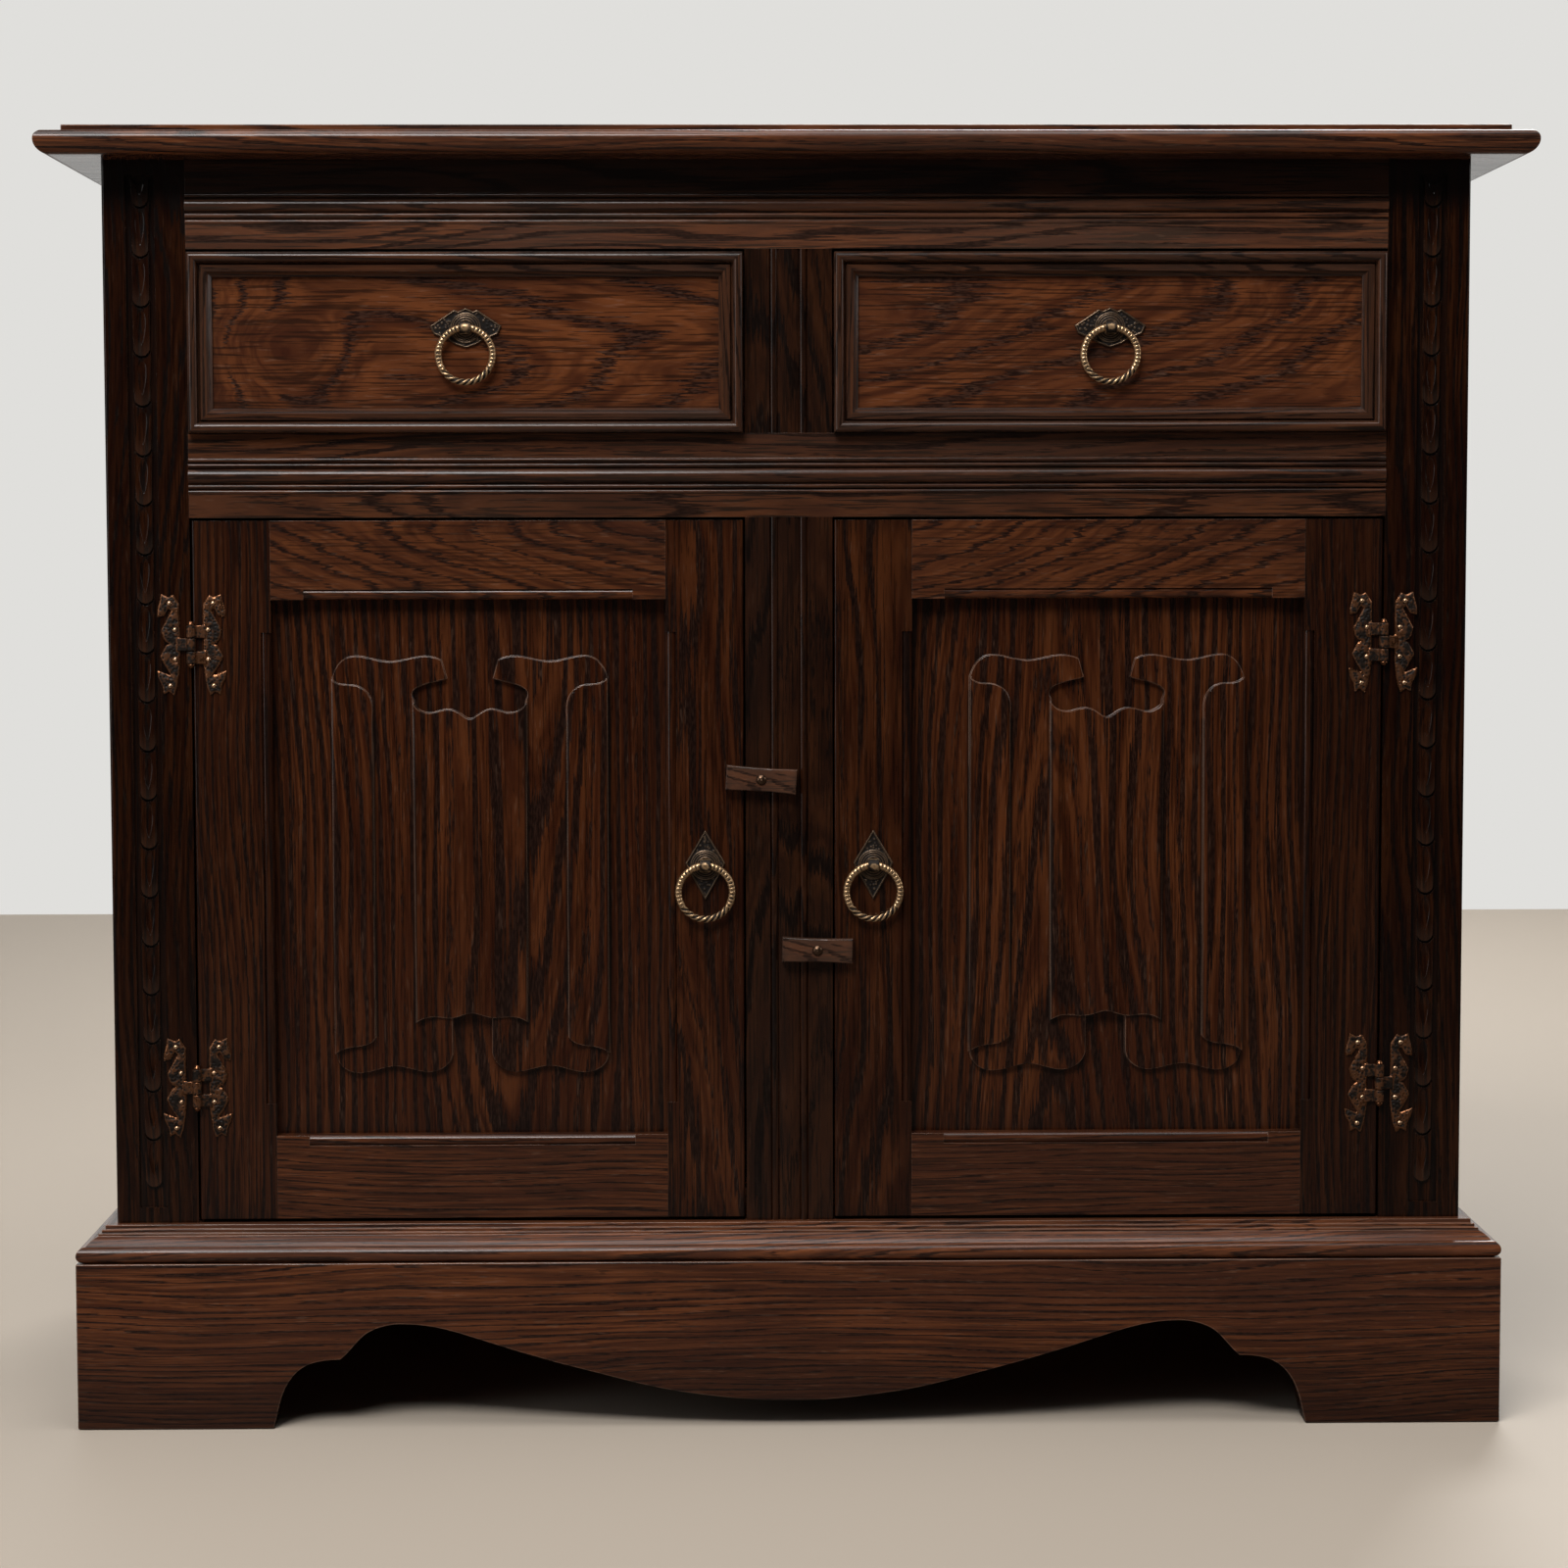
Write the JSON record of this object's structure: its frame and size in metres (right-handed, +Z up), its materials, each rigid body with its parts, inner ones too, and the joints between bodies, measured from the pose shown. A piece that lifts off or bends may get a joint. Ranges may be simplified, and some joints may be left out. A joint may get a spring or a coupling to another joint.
{
  "type": "court cupboard",
  "caption": "Small oak court cupboard with drawers over linenfold doors, ring pulls, turn buttons and a moulded plinth with an ogee arch.",
  "frame": {"origin": "on the floor, in the middle of the top board's width and depth", "axes": "+X to the right along the width, +Y from the front to the back, +Z up"},
  "size_m": [0.945, 0.45, 0.8325],
  "materials": {
    "stained_oak": "dark red-brown stain under satin varnish, open pores",
    "door_oak": "dark red-brown stain under satin varnish, rubbed lighter in the middle",
    "drawer_oak": "dark red-brown stain under satin varnish, flame grain",
    "turn_button_oak": "stained and worn satin",
    "inner_oak": "unstained, dry and matt",
    "antique_copper": "cast, dark in the hollows and rubbed bright on the edges",
    "antique_brass": "cast, dark in the hollows and rubbed bright on the edges",
    "copper_nails": "domed heads, rubbed bright",
    "dark_screws": "dark domed heads"
  },
  "bodies": {
    "carcass": {"back_panel": "inner_oak", "bottom_board": "inner_oak", "button_screws": "dark_screws", "corner_blocks": "inner_oak", "door_muntin": "stained_oak", "drawer_muntin": "stained_oak", "drawer_runners_and_kickers": "inner_oak", "dust_board": "inner_oak", "frieze_rail": "stained_oak", "front_post_left": "stained_oak", "front_post_right": "stained_oak", "hinge_pins": "antique_copper", "hinge_post_leaves": "antique_copper", "hinge_post_nails": "copper_nails", "middle_rail": "stained_oak", "plinth_back": "stained_oak", "plinth_front": "stained_oak", "plinth_moulding_front": "stained_oak", "plinth_moulding_sides": "stained_oak", "plinth_sides": "stained_oak", "rear_posts": "stained_oak", "shelf": "inner_oak", "shelf_bearers": "inner_oak", "side_panels": "stained_oak", "side_rails": "stained_oak", "top_board": "stained_oak"},
    "door_left": {"door_left_hinge_leaves": "antique_copper", "door_left_hinge_nails": "copper_nails", "door_left_panel": "door_oak", "door_left_pull_plate": "antique_brass", "door_left_pull_stud": "antique_brass", "door_left_rails": "door_oak", "door_left_stiles": "door_oak"},
    "door_left_ring": {"door_left_pull_ring": "antique_brass"},
    "door_right": {"door_right_hinge_leaves": "antique_copper", "door_right_hinge_nails": "copper_nails", "door_right_panel": "door_oak", "door_right_pull_plate": "antique_brass", "door_right_pull_stud": "antique_brass", "door_right_rails": "door_oak", "door_right_stiles": "door_oak"},
    "door_right_ring": {"door_right_pull_ring": "antique_brass"},
    "drawer_left": {"drawer_left_back": "inner_oak", "drawer_left_floor": "inner_oak", "drawer_left_front": "drawer_oak", "drawer_left_moulding": "drawer_oak", "drawer_left_pull_plate": "antique_brass", "drawer_left_pull_stud": "antique_brass", "drawer_left_sides": "inner_oak"},
    "drawer_left_ring": {"drawer_left_pull_ring": "antique_brass"},
    "drawer_right": {"drawer_right_back": "inner_oak", "drawer_right_floor": "inner_oak", "drawer_right_front": "drawer_oak", "drawer_right_moulding": "drawer_oak", "drawer_right_pull_plate": "antique_brass", "drawer_right_pull_stud": "antique_brass", "drawer_right_sides": "inner_oak"},
    "drawer_right_ring": {"drawer_right_pull_ring": "antique_brass"},
    "turn_button_lower": {"turn_button_lower": "turn_button_oak"},
    "turn_button_upper": {"turn_button_upper": "turn_button_oak"}
  },
  "joints": [
    {"name": "door_left_hinge", "type": "hinge", "parent": "carcass", "child": "door_left", "pos_m": [-0.3829, -0.19235, 0.358], "axis": [0, 0, -1], "range_deg": [0, 150]},
    {"name": "door_right_hinge", "type": "hinge", "parent": "carcass", "child": "door_right", "pos_m": [0.3829, -0.19235, 0.358], "axis": [0, 0, 1], "range_deg": [0, 150]},
    {"name": "drawer_left_slide", "type": "slide", "parent": "carcass", "child": "drawer_left", "axis": [0, -1, 0], "range_m": [0, 0.28]},
    {"name": "drawer_right_slide", "type": "slide", "parent": "carcass", "child": "drawer_right", "axis": [0, -1, 0], "range_m": [0, 0.28]},
    {"name": "door_left_ring_swing", "type": "hinge", "parent": "door_left", "child": "door_left_ring", "pos_m": [-0.0542, -0.1944, 0.362], "axis": [-1, 0, 0], "range_deg": [0, 100]},
    {"name": "drawer_left_ring_swing", "type": "hinge", "parent": "drawer_left", "child": "drawer_left_ring", "pos_m": [-0.20575, -0.1944, 0.7064], "axis": [-1, 0, 0], "range_deg": [0, 100]},
    {"name": "door_right_ring_swing", "type": "hinge", "parent": "door_right", "child": "door_right_ring", "pos_m": [0.0542, -0.1944, 0.362], "axis": [-1, 0, 0], "range_deg": [0, 100]},
    {"name": "drawer_right_ring_swing", "type": "hinge", "parent": "drawer_right", "child": "drawer_right_ring", "pos_m": [0.20575, -0.1944, 0.7064], "axis": [-1, 0, 0], "range_deg": [0, 100]},
    {"name": "turn_button_upper_turn", "type": "hinge", "parent": "carcass", "child": "turn_button_upper", "pos_m": [-0.018, -0.193, 0.4175], "axis": [0, -1, 0], "range_deg": [-90, 90]},
    {"name": "turn_button_lower_turn", "type": "hinge", "parent": "carcass", "child": "turn_button_lower", "pos_m": [0.018, -0.193, 0.307], "axis": [0, -1, 0], "range_deg": [-90, 90]}
  ]
}
